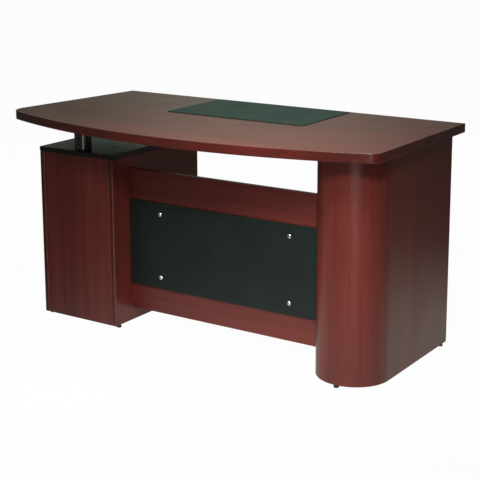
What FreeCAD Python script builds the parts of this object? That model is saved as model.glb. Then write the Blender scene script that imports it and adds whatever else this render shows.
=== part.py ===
import FreeCAD, Part
import math
import os
from FreeCAD import Vector

# Bow-fronted executive desk, in millimetres. The visitor sits at -Y and the user at +Y.
# X runs along the desktop, Z is up, and the origin is on the floor under the middle of the desktop.

# Desktop: square at its right end, splayed towards the visitor at its left
desk_width = 1450.0
desk_depth = 740.0
desk_height = 750.0
top_thickness = 30.0
bow_radius = 1950.0
right_corner_radius = 30.0
left_corner_radius = 65.0
left_splay_degrees = 7.0
edge_band_thickness = 2.0
edge_band_bevel = 1.5

# Pedestal and leg under the desktop, measured over their outer faces
stance_width = 1350.0
right_overhang = 25.0
rear_overhang = 40.0

# Writing pad, let into the desktop
pad_width = 546.0
pad_depth = 322.0
pad_thickness = 5.0
pad_recess_depth = 2.0
pad_corner_radius = 6.0
pad_edge_bevel = 1.5
pad_clearance = 0.5
pad_rear_margin = 13.0
pad_shift = 10.0

# Glides under the side panels
glide_height = 10.0
glide_radius = 9.0
glide_end_distance = 28.0

# Glides, small fasteners and caps are drawn with flat sides
glide_sides = 16
small_round_sides = 8

# Boards
board = 18.0
board_edge_bevel = 1.5

# Right leg: two flat sides and a half-round nose, closed at the rear by a door
leg_width = 240.0
leg_depth = 547.0
leg_wall = 18.0
leg_board_clearance = 0.2

# Left pedestal
pedestal_width = 328.0
pedestal_setback = 49.0
pedestal_top_thickness = 16.0
front_panel_setback = 2.0

# Pillars between the pedestal and the desktop
pillar_length = 101.0
pillar_radius = 30.0
pillar_edge_distance = 44.0
bolt_radius = 4.0
bolt_head_radius = 8.0
bolt_head_height = 5.0
bolt_bite = 20.0

# Screw caps over the screws that hold the pedestal's front panel
cap_radius = 6.0
cap_height = 1.5
cap_bottom_distance = 121.0
cap_top_distance = 48.0
cap_count = 5

# Modesty panel and its overlay
modesty_behind_nose = 24.0
modesty_floor_gap = 58.0
modesty_top_gap = 159.0
overlay_thickness = 6.0
overlay_top_margin = 108.0
overlay_bottom_margin = 90.0
overlay_edge_bevel = 1.0
overlay_screw_end_distance = 131.0
overlay_screw_edge_distance = 40.0
overlay_screw_head_radius = 8.0
overlay_screw_head_height = 4.0
overlay_screw_radius = 2.5
overlay_screw_length = 16.0

# Angle brackets behind the modesty panel
bracket_leg = 36.0
bracket_gauge = 2.5
bracket_height = 30.0
bracket_edge_distance = 80.0
bracket_hole_distance = 24.0

# Wood screws
screw_radius = 2.0
screw_head_radius = 4.0
screw_head_height = 2.2
screw_bite = 11.0
leg_screw_spacing_x = 120.0
leg_screw_end_distance = 70.0

# Drawers
drawer_gap = 3.0
small_front_height = 140.0
front_thickness = 18.0
front_edge_bevel = 1.5
box_wall = 12.0
box_top_drop = 28.0
box_bottom_rise = 12.0
box_back_clearance = 10.0
bottom_thickness = 4.0
bottom_rise = 10.0
groove_depth = 6.0
groove_clearance = 0.2

# Telescopic slides
slide_thickness = 12.7
slide_height = 45.7
slide_gauge = 1.2
slide_clearance = 0.4
slide_end_gap = 1.0
slide_lip_gap = 1.5

# Bow handles
handle_span = 96.0
handle_projection = 32.0
handle_bar_width = 12.0
handle_bar_thickness = 7.0
handle_bend_radius = 14.0

# Cam lock in the top drawer
lock_drop = 28.0
lock_flange_radius = 11.0
lock_flange_thickness = 2.5
lock_body_radius = 9.0
lock_body_tail = 6.0
lock_barrel_radius = 6.0
lock_running_clearance = 0.05
lock_end_clearance = 0.4
lock_tail_side = 6.0
keyway_width = 1.6
keyway_length = 8.0
keyway_depth = 5.0
cam_thickness = 2.0
cam_width = 14.0
cam_engagement = 7.0
cam_clearance = 1.5

# Leg door, its butt hinges and its catch
door_thickness = 18.0
door_gap = 2.0
door_end_gap = 3.0
door_stop_gap = 1.0
door_handle_height = 470.0
door_handle_edge_distance = 34.0
hinge_leaf_gauge = 1.5
hinge_leaf_width = 16.0
hinge_leaf_height = 60.0
hinge_leaf_clearance = 0.4
hinge_knuckle_radius = 3.5
hinge_knuckle_clearance = 0.4
hinge_pin_radius = 1.75
hinge_running_clearance = 0.05
hinge_end_distance = 90.0
catch_width = 40.0
catch_depth = 16.0
catch_height = 12.0
catch_end_distance = 24.0
catch_gap = 0.3
strike_thickness = 1.5

X_AXIS = Vector(1, 0, 0)
Y_AXIS = Vector(0, 1, 0)
Z_AXIS = Vector(0, 0, 1)

# Planes that the pieces share
right_x = desk_width / 2
rear_y = desk_depth / 2
under_z = desk_height - top_thickness
case_rear_y = rear_y - rear_overhang

leg_x1 = right_x - right_overhang
leg_x0 = leg_x1 - leg_width
leg_mid_x = leg_x1 - leg_width / 2
nose_radius = leg_width / 2
nose_front_y = case_rear_y - leg_depth
nose_centre_y = nose_front_y + nose_radius

pedestal_x0 = leg_x1 - stance_width
pedestal_x1 = pedestal_x0 + pedestal_width
pedestal_mid_x = pedestal_x0 + pedestal_width / 2
pedestal_front_y = nose_front_y + pedestal_setback
pedestal_top_z = under_z - pillar_length
case_roof_z = pedestal_top_z - pedestal_top_thickness
case_floor_z = glide_height + board
inside_x0 = pedestal_x0 + board
inside_x1 = pedestal_x1 - board
front_panel_y0 = pedestal_front_y + front_panel_setback
front_panel_y1 = front_panel_y0 + board

bow_mid_x = (pedestal_x0 + leg_x1) / 2
bow_centre = Vector(bow_mid_x, bow_radius - rear_y, under_z)

modesty_y0 = nose_centre_y + modesty_behind_nose
modesty_y1 = modesty_y0 + board
modesty_z1 = under_z - modesty_top_gap
overlay_y0 = modesty_y0 - overlay_thickness

drawer_front_y0 = case_rear_y - front_thickness
lock_x = pedestal_mid_x
lock_z = case_roof_z - drawer_gap - lock_drop

door_y0 = case_rear_y - door_thickness
hinge_gap = 2 * hinge_leaf_gauge + hinge_leaf_clearance
door_x0 = leg_x0 + leg_wall + door_gap
door_x1 = leg_x1 - leg_wall - hinge_gap
door_z0 = glide_height + door_end_gap
door_z1 = under_z - door_end_gap
leg_boards_y1 = door_y0 - door_stop_gap
hinge_axis_x = door_x1 + hinge_gap / 2
hinge_axis_y = case_rear_y + hinge_knuckle_radius + hinge_knuckle_clearance


def block(x0, x1, y0, y1, z0, z1):
    """Box between two opposite corners."""
    return Part.makeBox(x1 - x0, y1 - y0, z1 - z0, Vector(x0, y0, z0))


def rod(radius, start, end):
    """Round bar between two points."""
    return Part.makeCylinder(radius, (end - start).Length, start, end - start)


def prism(edges, height):
    """Solid raised straight up from a closed outline."""
    return Part.Face(Part.Wire(Part.__sortEdges__(edges))).extrude(Vector(0, 0, height))


def line(start, end):
    return Part.LineSegment(start, end).toShape()


def arc(start, through, end):
    return Part.Arc(start, through, end).toShape()


def flat_sided(radius, start, end, sides=small_round_sides):
    """Bar between two points whose section is a regular polygon inside a circle."""
    turn = FreeCAD.Rotation(Z_AXIS, end - start)
    corners = []
    for number in range(sides):
        angle = 2 * math.pi * number / sides
        corners.append(start + turn.multVec(Vector(radius * math.cos(angle), radius * math.sin(angle), 0)))
    return Part.Face(Part.makePolygon(corners + corners[:1])).extrude(end - start)


def edges_along(solid, direction):
    """Straight edges of a solid that run along a direction."""
    return [edge for edge in solid.Edges if abs(edge.tangentAt(edge.FirstParameter).dot(direction)) > 0.999]


def edges_in_plane(solid, normal, offset):
    """Edges of a solid that lie in one plane."""
    return [edge for edge in solid.Edges
            if all(abs(vertex.Point.dot(normal) - offset) < 1e-6 for vertex in edge.Vertexes)]


def save(node, *solids):
    """Write one node: a solid, or a group of separate solids."""
    shape = solids[0] if len(solids) == 1 else Part.makeCompound(list(solids))
    shape.exportStep(f"parts/{node}.step")


def pillar_places():
    """Plan positions of the front and the rear pillar."""
    ys = (pedestal_front_y + pillar_edge_distance, case_rear_y - pillar_edge_distance)
    return [(pedestal_mid_x, y) for y in ys]


def leg_screw_places():
    """Plan positions of the screws from the leg's top board into the desktop."""
    ys = (nose_centre_y, leg_boards_y1 - leg_screw_end_distance)
    xs = (leg_mid_x - leg_screw_spacing_x / 2, leg_mid_x + leg_screw_spacing_x / 2)
    return [(x, y) for x in xs for y in ys]


def desktop_end(side, splay, radius, inset):
    """Rear corner of an end of the desktop, then start, middle and end of its rounding into the bow."""
    slope = math.radians(splay)
    outward = Vector(side * math.cos(slope), math.sin(slope), 0)
    x = side * (right_x - radius)
    y = bow_centre.y - math.sqrt((bow_radius - radius) ** 2 - (x - bow_mid_x) ** 2)
    centre = Vector(x, y, under_z)
    onto_bow = (centre - bow_centre).normalize()
    halfway = (outward + onto_bow).normalize()
    reach = radius - inset
    start = centre + outward * reach
    rise = rear_y - inset - start.y
    corner = start + Vector(-side * rise * math.tan(slope), rise, 0)
    return [corner, start, centre + halfway * reach, centre + onto_bow * reach]


def desktop_outline(inset):
    """Plan outline: straight rear, square right end, splayed left end, and a bow between round corners."""
    apex = Vector(bow_mid_x, inset - rear_y, under_z)
    right = desktop_end(1, 0, right_corner_radius, inset)
    left = desktop_end(-1, left_splay_degrees, left_corner_radius, inset)
    return [line(left[0], right[0]), line(right[0], right[1]), arc(*right[1:]),
            arc(right[3], apex, left[3]), arc(*left[1:]), line(left[1], left[0])]


def pad_blank(margin, z0, height):
    """Round-cornered slab of the pad's plan, grown by a margin."""
    x0 = bow_mid_x + pad_shift - pad_width / 2 - margin
    y1 = rear_y - pad_rear_margin + margin
    slab = block(x0, x0 + pad_width + 2 * margin, y1 - pad_depth - 2 * margin, y1, z0, z0 + height)
    return slab.makeFillet(pad_corner_radius + margin, edges_along(slab, Z_AXIS))


def make_desktop():
    blank = prism(desktop_outline(0), top_thickness)
    rims = edges_in_plane(blank, Z_AXIS, under_z) + edges_in_plane(blank, Z_AXIS, desk_height)
    core = prism(desktop_outline(edge_band_thickness), top_thickness)
    save("desktop_edge_band", blank.makeChamfer(edge_band_bevel, rims).cut(core))

    recess_z = desk_height - pad_recess_depth
    top = core.cut(pad_blank(pad_clearance, recess_z, pad_recess_depth))
    for x, y in pillar_places():
        top = top.cut(rod(bolt_radius, Vector(x, y, under_z), Vector(x, y, under_z + bolt_bite)))
    for x, y in leg_screw_places():
        top = top.cut(flat_sided(screw_radius, Vector(x, y, under_z), Vector(x, y, under_z + screw_bite)))
    save("desktop", top)

    pad = pad_blank(0, recess_z, pad_thickness)
    pad_rim = edges_in_plane(pad, Z_AXIS, recess_z + pad_thickness)
    save("writing_pad", pad.makeChamfer(pad_edge_bevel, pad_rim))


def glide(x, y):
    """Round glide under the edge of a panel."""
    return flat_sided(glide_radius, Vector(x, y, 0), Vector(x, y, glide_height), glide_sides)


def wood_screw(seat, axis, shank):
    """Screw whose head bears on a face at seat and whose shank runs along axis."""
    head = flat_sided(screw_head_radius, seat - axis * screw_head_height, seat)
    return head.fuse(flat_sided(screw_radius, seat, seat + axis * shank))


def bracket_screws():
    """Seat and direction of every screw in the brackets: one into the panel and one into the case."""
    screws = []
    for face_x, side in ((pedestal_x1, 1), (leg_x0, -1)):
        for z in (modesty_floor_gap + bracket_edge_distance, modesty_z1 - bracket_edge_distance):
            panel_x = face_x + side * bracket_hole_distance
            case_y = modesty_y1 + bracket_hole_distance
            screws.append((Vector(panel_x, modesty_y1 + bracket_gauge, z), Vector(0, -1, 0)))
            screws.append((Vector(face_x + side * bracket_gauge, case_y, z), Vector(-side, 0, 0)))
    return screws


def screwed(panel):
    """Panel with the holes of the bracket screws that reach it."""
    for seat, axis in bracket_screws():
        panel = panel.cut(flat_sided(screw_radius, seat, seat + axis * screw_bite))
    return panel


def make_modesty():
    panel = screwed(block(pedestal_x1, leg_x0, modesty_y0, modesty_y1, modesty_floor_gap, modesty_z1))
    overlay_z0 = modesty_floor_gap + overlay_bottom_margin
    overlay_z1 = modesty_z1 - overlay_top_margin
    overlay = block(pedestal_x1, leg_x0, overlay_y0, modesty_y0, overlay_z0, overlay_z1)
    overlay = overlay.makeChamfer(overlay_edge_bevel, edges_in_plane(overlay, Y_AXIS, overlay_y0))

    xs = (pedestal_x1 + overlay_screw_end_distance, leg_x0 - overlay_screw_end_distance)
    zs = (overlay_z0 + overlay_screw_edge_distance, overlay_z1 - overlay_screw_edge_distance)
    head_radius = overlay_screw_head_radius
    head_height = overlay_screw_head_height
    dome_radius = (head_radius ** 2 + head_height ** 2) / (2 * head_height)
    screws = []
    for x in xs:
        for z in zs:
            seat = Vector(x, overlay_y0, z)
            tip = seat + Y_AXIS * overlay_screw_length
            ball = Part.makeSphere(dome_radius, seat + Y_AXIS * (dome_radius - head_height))
            cap = rod(head_radius, seat - Y_AXIS * head_height, seat).common(ball)
            shank = flat_sided(overlay_screw_radius, seat, tip)
            screws.append(cap.fuse(shank))
            overlay = overlay.cut(shank)
            panel = panel.cut(shank)
    save("modesty_panel", panel)
    save("modesty_overlay", overlay)
    save("overlay_screws", *screws)


def make_brackets():
    brackets = []
    for face_x, side in ((pedestal_x1, 1), (leg_x0, -1)):
        for z in (modesty_floor_gap + bracket_edge_distance, modesty_z1 - bracket_edge_distance):
            plan = [(0, 0), (bracket_leg, 0), (bracket_leg, bracket_gauge), (bracket_gauge, bracket_gauge),
                    (bracket_gauge, bracket_leg), (0, bracket_leg)]
            corners = [Vector(face_x + side * x, modesty_y1 + y, z - bracket_height / 2) for x, y in plan]
            angle = Part.Face(Part.makePolygon(corners + corners[:1])).extrude(Vector(0, 0, bracket_height))
            brackets.append(screwed(angle))
    save("modesty_brackets", *brackets)

    screws = [wood_screw(seat, axis, screw_bite) for seat, axis in bracket_screws()]
    for x, y in leg_screw_places():
        screws.append(wood_screw(Vector(x, y, under_z - board), Z_AXIS, board + screw_bite))
    save("assembly_screws", *screws)


def cap_places():
    """Depth and heights of the screw caps, over the middle of the front panel's edge and evenly spaced."""
    y = (front_panel_y0 + front_panel_y1) / 2
    lowest = glide_height + cap_bottom_distance
    pitch = (case_roof_z - cap_top_distance - lowest) / (cap_count - 1)
    return [(y, lowest + number * pitch) for number in range(cap_count)]


def make_pedestal():
    mids = {"pedestal_outer_side": pedestal_x0 + board / 2, "pedestal_inner_side": pedestal_x1 - board / 2}
    glide_ys = (pedestal_front_y + glide_end_distance, case_rear_y - glide_end_distance)
    glides = []
    caps = []
    for node, mid in mids.items():
        outward = math.copysign(1, mid - pedestal_mid_x)
        face_x = mid + outward * board / 2
        side = block(mid - board / 2, mid + board / 2, pedestal_front_y, case_rear_y,
                     glide_height, case_roof_z)
        side = side.makeChamfer(board_edge_bevel, edges_along(side, Z_AXIS))
        save(node, screwed(side))
        glides += [glide(mid, y) for y in glide_ys]
        for y, z in cap_places():
            seat = Vector(face_x, y, z)
            caps.append(flat_sided(cap_radius, seat, seat + X_AXIS * outward * cap_height))
    save("pedestal_glides", *glides)
    save("pedestal_screw_caps", *caps)

    panel = block(inside_x0, inside_x1, front_panel_y0, front_panel_y1, glide_height, case_roof_z)
    save("pedestal_front_panel", panel)
    base = block(inside_x0, inside_x1, front_panel_y1, case_rear_y, glide_height, case_floor_z)
    save("pedestal_base", base)

    top = block(pedestal_x0, pedestal_x1, pedestal_front_y, case_rear_y, case_roof_z, pedestal_top_z)
    top = top.makeChamfer(board_edge_bevel, edges_in_plane(top, Z_AXIS, pedestal_top_z))
    for x, y in pillar_places():
        top = top.cut(rod(bolt_radius, Vector(x, y, case_roof_z), Vector(x, y, pedestal_top_z)))
    save("pedestal_top", top.cut(lock_slot()))


def make_pillars():
    bolts = []
    for node, (x, y) in zip(("pillar_front", "pillar_rear"), pillar_places()):
        foot = Vector(x, y, pedestal_top_z)
        head = Vector(x, y, under_z)
        save(node, rod(pillar_radius, foot, head).cut(rod(bolt_radius, foot, head)))
        seat = Vector(x, y, case_roof_z)
        hexagon = Part.makePolygon([seat + Vector(bolt_head_radius * math.cos(number * math.pi / 3),
                                                  bolt_head_radius * math.sin(number * math.pi / 3), 0)
                                    for number in range(7)])
        bolt_head = Part.Face(hexagon).extrude(Vector(0, 0, -bolt_head_height))
        bolts.append(bolt_head.fuse(rod(bolt_radius, seat, head + Z_AXIS * bolt_bite)))
    save("pillar_bolts", *bolts)


def leg_board(z0):
    """D-shaped board that fits inside the leg's walls."""
    x0 = leg_x0 + leg_wall
    x1 = leg_x1 - leg_wall
    radius = nose_radius - leg_wall - leg_board_clearance
    start = Vector(x0, nose_centre_y, z0)
    end = Vector(x1, nose_centre_y, z0)
    shoulder0 = Vector(leg_mid_x - radius, nose_centre_y, z0)
    shoulder1 = Vector(leg_mid_x + radius, nose_centre_y, z0)
    rear0 = Vector(x0, leg_boards_y1, z0)
    rear1 = Vector(x1, leg_boards_y1, z0)
    front = Vector(leg_mid_x, nose_centre_y - radius, z0)
    outline = [line(start, shoulder0), arc(shoulder0, front, shoulder1), line(shoulder1, end),
               line(end, rear1), line(rear1, rear0), line(rear0, start)]
    return prism(outline, board)


def make_leg():
    glides = []
    for node, x0 in (("leg_inner_side", leg_x0), ("leg_outer_side", leg_x1 - leg_wall)):
        side = block(x0, x0 + leg_wall, nose_centre_y, case_rear_y, glide_height, under_z)
        rear_edges = [edge for edge in edges_along(side, Z_AXIS)
                      if edge.CenterOfMass.y > nose_centre_y + leg_wall]
        side = side.makeChamfer(board_edge_bevel, rear_edges)
        save(node, screwed(side))
        glides.append(glide(x0 + leg_wall / 2, case_rear_y - glide_end_distance))

    inner_radius = nose_radius - leg_wall
    ends = [Vector(leg_mid_x + offset, nose_centre_y, glide_height)
            for offset in (-nose_radius, nose_radius, inner_radius, -inner_radius)]
    outer_front = Vector(leg_mid_x, nose_front_y, glide_height)
    inner_front = Vector(leg_mid_x, nose_front_y + leg_wall, glide_height)
    outline = [arc(ends[0], outer_front, ends[1]), line(ends[1], ends[2]),
               arc(ends[2], inner_front, ends[3]), line(ends[3], ends[0])]
    save("leg_nose", prism(outline, under_z - glide_height))
    glides.append(glide(leg_mid_x, nose_front_y + leg_wall / 2))
    save("leg_glides", *glides)

    save("leg_base_board", leg_board(glide_height))
    top = leg_board(under_z - board)
    for x, y in leg_screw_places():
        top = top.cut(flat_sided(screw_radius, Vector(x, y, under_z - board), Vector(x, y, under_z)))
    save("leg_top_board", top)


def bow_outline(half, reach, radius):
    """Edges of a round-cornered bow in the XY plane, from one foot to the other."""
    slack = radius * (1 - math.sqrt(0.5))
    feet = [Vector(side * half, 0, 0) for side in (-1, 1)]
    hips = [Vector(side * half, reach - radius, 0) for side in (-1, 1)]
    bends = [Vector(side * (half - slack), reach - slack, 0) for side in (-1, 1)]
    tops = [Vector(side * (half - radius), reach, 0) for side in (-1, 1)]
    return [line(feet[0], hips[0]), arc(hips[0], bends[0], tops[0]), line(tops[0], tops[1]),
            arc(tops[1], bends[1], hips[1]), line(hips[1], feet[1])]


def bow_handle(turn):
    """Bow of flat bar that stands out along +Y from the origin, its span along X before the turn."""
    thickness = handle_bar_thickness
    half = (handle_span + thickness) / 2
    outer = bow_outline(half, handle_projection, handle_bend_radius)
    inner = bow_outline(half - thickness, handle_projection - thickness, handle_bend_radius - thickness)
    feet = [line(Vector(side * half, 0, 0), Vector(side * (half - thickness), 0, 0)) for side in (-1, 1)]
    handle = prism(outer + feet[1:] + inner + feet[:1], handle_bar_width)
    handle.translate(Vector(0, 0, -handle_bar_width / 2))
    handle.rotate(Vector(0, 0, 0), Y_AXIS, turn)
    return handle


def placed(solid, x, y, z):
    """Solid moved from the origin to a point."""
    solid.translate(Vector(x, y, z))
    return solid


def channel(web_x, lip_x, half_height, mid_z, y0, y1):
    """Steel channel along Y: a web at web_x and two flanges that reach lip_x."""
    inner_x = web_x + math.copysign(slide_gauge, lip_x - web_x)
    step = half_height - slide_gauge
    section = [(web_x, -half_height), (lip_x, -half_height), (lip_x, -step), (inner_x, -step),
               (inner_x, step), (lip_x, step), (lip_x, half_height), (web_x, half_height)]
    corners = [Vector(x, y0, mid_z + z) for x, z in section]
    return Part.Face(Part.makePolygon(corners + corners[:1])).extrude(Vector(0, y1 - y0, 0))


def slide_pair(mid_z, y0, y1):
    """Outer, middle and inner members on both sides of one drawer, nested with a running clearance."""
    nest = slide_gauge + slide_clearance
    half = slide_height / 2
    members = {"outer": [], "middle": [], "inner": []}
    for case_x, side in ((inside_x0, 1), (inside_x1, -1)):
        box_x = case_x + side * slide_thickness
        lip_x = box_x - side * slide_lip_gap
        members["outer"].append(channel(case_x, lip_x, half, mid_z, y0, y1))
        members["middle"].append(channel(case_x + side * nest, lip_x, half - nest, mid_z, y0, y1))
        members["inner"].append(channel(box_x, case_x + side * 2 * nest, half - 2 * nest, mid_z, y0, y1))
    return members


def make_drawers():
    file_front_height = case_roof_z - case_floor_z - 2 * small_front_height - 4 * drawer_gap
    box_x0 = inside_x0 + slide_thickness
    box_x1 = inside_x1 - slide_thickness
    bay_x0 = box_x0 + box_wall
    bay_x1 = box_x1 - box_wall
    box_y0 = front_panel_y1 + box_back_clearance
    bay_y0 = box_y0 + box_wall
    front_top = case_roof_z - drawer_gap
    outer_slides = []
    for number, front_height in enumerate((small_front_height, small_front_height, file_front_height), 1):
        drawer = f"drawer_{number}"
        front_bottom = front_top - front_height
        box_z0 = front_bottom + box_bottom_rise
        box_z1 = front_top - box_top_drop
        floor_z = box_z0 + bottom_rise
        groove_x0 = bay_x0 - groove_depth
        groove_x1 = bay_x1 + groove_depth
        groove_z1 = floor_z + bottom_thickness + groove_clearance
        groove = block(groove_x0, groove_x1, bay_y0 - groove_depth, drawer_front_y0 + groove_depth,
                       floor_z, groove_z1)

        front = block(inside_x0 + drawer_gap, inside_x1 - drawer_gap, drawer_front_y0, case_rear_y,
                      front_bottom, front_top)
        front = front.makeChamfer(front_edge_bevel, edges_in_plane(front, Y_AXIS, case_rear_y)).cut(groove)
        if number == 1:
            lock_hole = rod(lock_body_radius, Vector(lock_x, drawer_front_y0, lock_z),
                            Vector(lock_x, case_rear_y, lock_z))
            front = front.cut(lock_hole)
        save(f"{drawer}_front", front)
        left_side = block(box_x0, bay_x0, box_y0, drawer_front_y0, box_z0, box_z1)
        save(f"{drawer}_left_side", left_side.cut(groove))
        right_side = block(bay_x1, box_x1, box_y0, drawer_front_y0, box_z0, box_z1)
        save(f"{drawer}_right_side", right_side.cut(groove))
        back = block(bay_x0, bay_x1, box_y0, bay_y0, box_z0, box_z1)
        save(f"{drawer}_back", back.cut(groove))
        save(f"{drawer}_bottom", block(groove_x0 + groove_clearance, groove_x1 - groove_clearance,
                                       bay_y0 - groove_depth + groove_clearance,
                                       drawer_front_y0 + groove_depth - groove_clearance,
                                       floor_z, floor_z + bottom_thickness))

        handle_z = (front_top + front_bottom) / 2
        save(f"{drawer}_handle", placed(bow_handle(0), pedestal_mid_x, case_rear_y, handle_z))

        slides = slide_pair((box_z0 + box_z1) / 2, box_y0, drawer_front_y0 - slide_end_gap)
        outer_slides += slides["outer"]
        save(f"{drawer}_slide_middle", *slides["middle"])
        save(f"{drawer}_slide_inner", *slides["inner"])
        front_top = front_bottom - drawer_gap
    save("slide_outer_members", *outer_slides)


def cam_reach():
    """Length of the lock's tongue from its axis: up to the case roof, and into the slot there."""
    return case_roof_z - lock_z + cam_engagement


def cam_y1():
    """Face of the cam that bears on the end of the barrel."""
    return drawer_front_y0 - lock_body_tail - lock_end_clearance


def lock_slot():
    """Slot in the pedestal's top that the tongue swings up into."""
    tip = math.hypot(cam_reach(), cam_width / 2)
    swing = math.sqrt(tip ** 2 - (case_roof_z - lock_z) ** 2)
    y1 = cam_y1() + cam_clearance
    y0 = cam_y1() - cam_thickness - cam_clearance
    x0 = lock_x - cam_width / 2 - cam_clearance
    return block(x0, lock_x + swing + cam_clearance, y0, y1, case_roof_z, lock_z + tip + cam_clearance)


def make_lock():
    inner_y = drawer_front_y0 - lock_body_tail
    face_y = case_rear_y + lock_flange_thickness

    def along(radius, y0, y1):
        return rod(radius, Vector(lock_x, y0, lock_z), Vector(lock_x, y1, lock_z))

    flange = along(lock_flange_radius, case_rear_y, face_y)
    housing = along(lock_body_radius, inner_y, case_rear_y).fuse(flange).removeSplitter()
    save("lock_housing", housing.cut(along(lock_barrel_radius + lock_running_clearance, inner_y, face_y)))

    half_tail = lock_tail_side / 2
    tail = block(lock_x - half_tail, lock_x + half_tail, cam_y1() - cam_thickness, cam_y1(),
                 lock_z - half_tail, lock_z + half_tail)
    keyway = block(lock_x - keyway_width / 2, lock_x + keyway_width / 2, face_y - keyway_depth, face_y,
                   lock_z - keyway_length / 2, lock_z + keyway_length / 2)
    save("lock_barrel", along(lock_barrel_radius, cam_y1(), face_y).fuse(tail).cut(keyway))

    hub = along(cam_width / 2, cam_y1() - cam_thickness, cam_y1())
    tongue = block(lock_x, lock_x + cam_reach(), cam_y1() - cam_thickness, cam_y1(),
                   lock_z - cam_width / 2, lock_z + cam_width / 2)
    save("lock_cam", hub.fuse(tongue).removeSplitter().cut(tail))


def hinge_leaf(plate_x0, mid_z, knuckles):
    """One leaf of a butt hinge: a plate in the door's gap, and its share of the knuckles round the pin."""
    axis_foot = Vector(hinge_axis_x, hinge_axis_y, mid_z - hinge_leaf_height / 2)
    axis_head = axis_foot + Z_AXIS * hinge_leaf_height
    share = hinge_leaf_height / 3
    plate_x1 = plate_x0 + hinge_leaf_gauge
    plate_y0 = case_rear_y - hinge_leaf_width
    leaf = block(plate_x0, plate_x1, plate_y0, case_rear_y, axis_foot.z, axis_head.z)
    for number in knuckles:
        foot = axis_foot + Z_AXIS * (number * share + hinge_knuckle_clearance / 2)
        head = axis_foot + Z_AXIS * ((number + 1) * share - hinge_knuckle_clearance / 2)
        neck = block(plate_x0, plate_x1, plate_y0, hinge_axis_y, foot.z, head.z)
        leaf = leaf.fuse(neck).fuse(rod(hinge_knuckle_radius, foot, head))
    bore = rod(hinge_pin_radius + hinge_running_clearance, axis_foot, axis_head)
    return leaf.cut(bore).removeSplitter()


def hinge_pin(mid_z):
    """Pin through all the knuckles of one hinge."""
    middle = Vector(hinge_axis_x, hinge_axis_y, mid_z)
    half = Z_AXIS * (hinge_leaf_height / 2)
    return rod(hinge_pin_radius, middle - half, middle + half)


def make_door():
    panel = block(door_x0, door_x1, door_y0, case_rear_y, door_z0, door_z1)
    save("leg_door", panel.makeChamfer(front_edge_bevel, edges_in_plane(panel, Y_AXIS, case_rear_y)))

    heights = (door_z0 + hinge_end_distance, door_z1 - hinge_end_distance)
    fixed_x0 = leg_x1 - leg_wall - hinge_leaf_gauge
    save("hinge_fixed_leaves", *[hinge_leaf(fixed_x0, z, (0, 2)) for z in heights])
    save("hinge_door_leaves", *[hinge_leaf(door_x1, z, (1,)) for z in heights])
    save("hinge_pins", *[hinge_pin(z) for z in heights])

    handle_x = door_x0 + door_handle_edge_distance
    save("door_handle", placed(bow_handle(90), handle_x, case_rear_y, door_handle_height))

    strike_x0 = door_x0 + catch_end_distance
    strike_x1 = strike_x0 + catch_width
    catch_z1 = under_z - board
    catch_z0 = catch_z1 - catch_height
    strike_y0 = door_y0 - strike_thickness
    catch_y1 = strike_y0 - catch_gap
    save("door_strike", block(strike_x0, strike_x1, strike_y0, door_y0, catch_z0, catch_z1 - catch_gap))
    save("door_catch", block(strike_x0, strike_x1, catch_y1 - catch_depth, catch_y1, catch_z0, catch_z1))


os.makedirs("parts", exist_ok=True)
make_desktop()
make_modesty()
make_brackets()
make_pedestal()
make_pillars()
make_leg()
make_drawers()
make_lock()
make_door()
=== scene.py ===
import math

import bmesh
import bpy
from mathutils import Matrix, Vector


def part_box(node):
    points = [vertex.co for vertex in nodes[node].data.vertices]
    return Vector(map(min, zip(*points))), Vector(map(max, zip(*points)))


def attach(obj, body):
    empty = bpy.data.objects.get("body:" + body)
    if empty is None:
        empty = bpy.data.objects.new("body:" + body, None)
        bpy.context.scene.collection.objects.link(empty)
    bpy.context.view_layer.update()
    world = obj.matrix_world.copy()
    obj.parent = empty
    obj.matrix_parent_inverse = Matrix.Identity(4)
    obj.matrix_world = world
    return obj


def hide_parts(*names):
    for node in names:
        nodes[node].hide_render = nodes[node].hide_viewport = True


# Bow-fronted executive desk: finishes, fine shapes, light and camera, in metres in the desk's own frame.

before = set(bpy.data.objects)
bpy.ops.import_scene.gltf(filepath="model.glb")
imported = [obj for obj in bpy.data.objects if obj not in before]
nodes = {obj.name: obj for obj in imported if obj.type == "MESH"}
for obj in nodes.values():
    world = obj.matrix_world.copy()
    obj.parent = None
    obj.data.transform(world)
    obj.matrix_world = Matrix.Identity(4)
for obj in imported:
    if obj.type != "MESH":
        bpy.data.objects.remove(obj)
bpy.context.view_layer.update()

DRAWERS = ("drawer_1", "drawer_2", "drawer_3")

# Desktop and its edge band. The band's support rings keep its flat face flat in shading
BOW_RADIUS = 1.950
BOW_MIDDLE_X = 0.025
RIGHT_CORNER_RADIUS = 0.030
LEFT_CORNER_RADIUS = 0.065
LEFT_SPLAY = 7.0
BAND_THICKNESS = 0.002
BAND_SUPPORT = 0.003

# Writing pad. The crown's rise is given by inset from the edge and share of the crown still to rise
PAD_CORNER_RADIUS = 0.006
PAD_EDGE_RADIUS = 0.0022
# Share and rings of the pad's rounded rim that take wear and a painted highlight
PAD_EDGE_WEAR_AND_HIGHLIGHT = 0.8
PAD_WEAR_AND_HIGHLIGHT_RINGS = slice(3, -3)
PAD_CROWN = 0.0004
PAD_CROWN_RISE = ((0.0052, 0.4), (0.0058, 0.0))

# Boards, and the dark strips on the front edges of the pedestal's sides, painted shadow of a gap beside the
# front panel
LEG_WALL = 0.018
BOARD_EDGE_RADIUS = 0.0014
SIDE_EDGE_RADIUS = 0.0030
FRONT_EDGE_RADIUS = 0.0018
OVERLAY_EDGE_RADIUS = 0.0016
OVERLAY_EDGE_STEPS = 3
STRIP_INSET = 0.0045
STRIP_WIDTH = 0.0090
STRIP_PROUD = 0.0004
STRIP_SUNK = 0.0010
STRIP_END_GAP = 0.0020
STRIP_EDGE_RADIUS = 0.0002

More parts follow.
